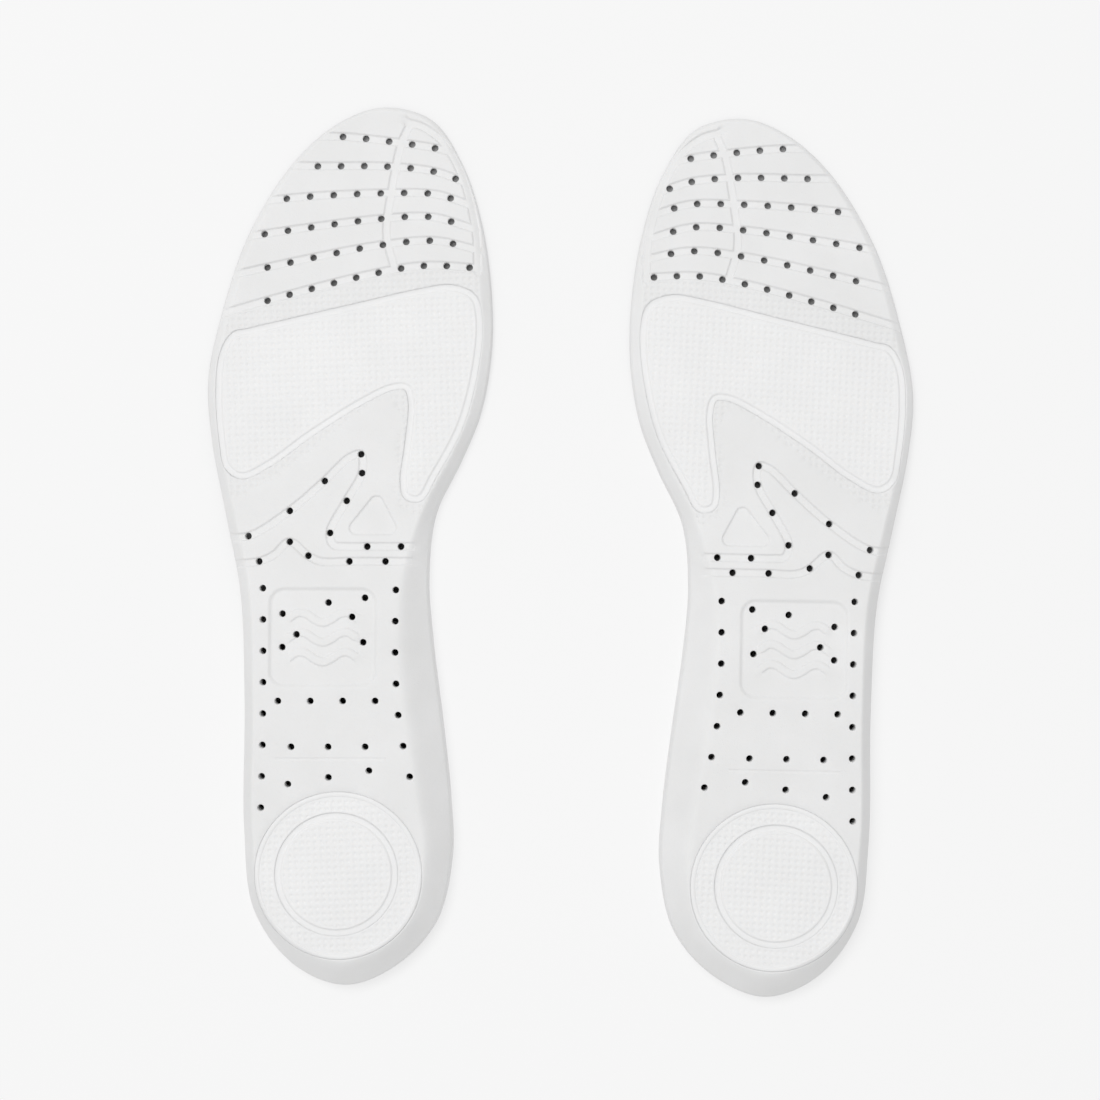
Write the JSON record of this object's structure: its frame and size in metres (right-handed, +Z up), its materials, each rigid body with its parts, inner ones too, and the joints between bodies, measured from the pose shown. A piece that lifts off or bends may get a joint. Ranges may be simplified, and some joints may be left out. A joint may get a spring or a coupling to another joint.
{
  "type": "cushioned insole pair",
  "caption": "Pair of moulded foam insoles with a cupped heel, textured ball and heel cushions, vent holes and a fabric cover.",
  "frame": {"origin": "middle of the underside of the pair's bounding box, on the surface that the insoles lie on", "axes": "+Y towards the toes, +Z up out of the sole side, +X from the right insole to the left one; each insole lies sole side up"},
  "size_m": [0.225, 0.2838, 0.018],
  "materials": {
    "foam_white": "matte moulded foam",
    "cushion_white": "matte foam with a fine square mesh relief",
    "cover_fabric": "matte knitted fabric"
  },
  "bodies": {
    "root": {"right_foam_body": "foam_white", "right_ball_cushion": "cushion_white", "right_heel_ring_cushion": "cushion_white", "right_heel_disc_cushion": "cushion_white", "right_top_cover": "cover_fabric", "left_foam_body": "foam_white", "left_ball_cushion": "cushion_white", "left_heel_ring_cushion": "cushion_white", "left_heel_disc_cushion": "cushion_white", "left_top_cover": "cover_fabric"}
  },
  "joints": []
}
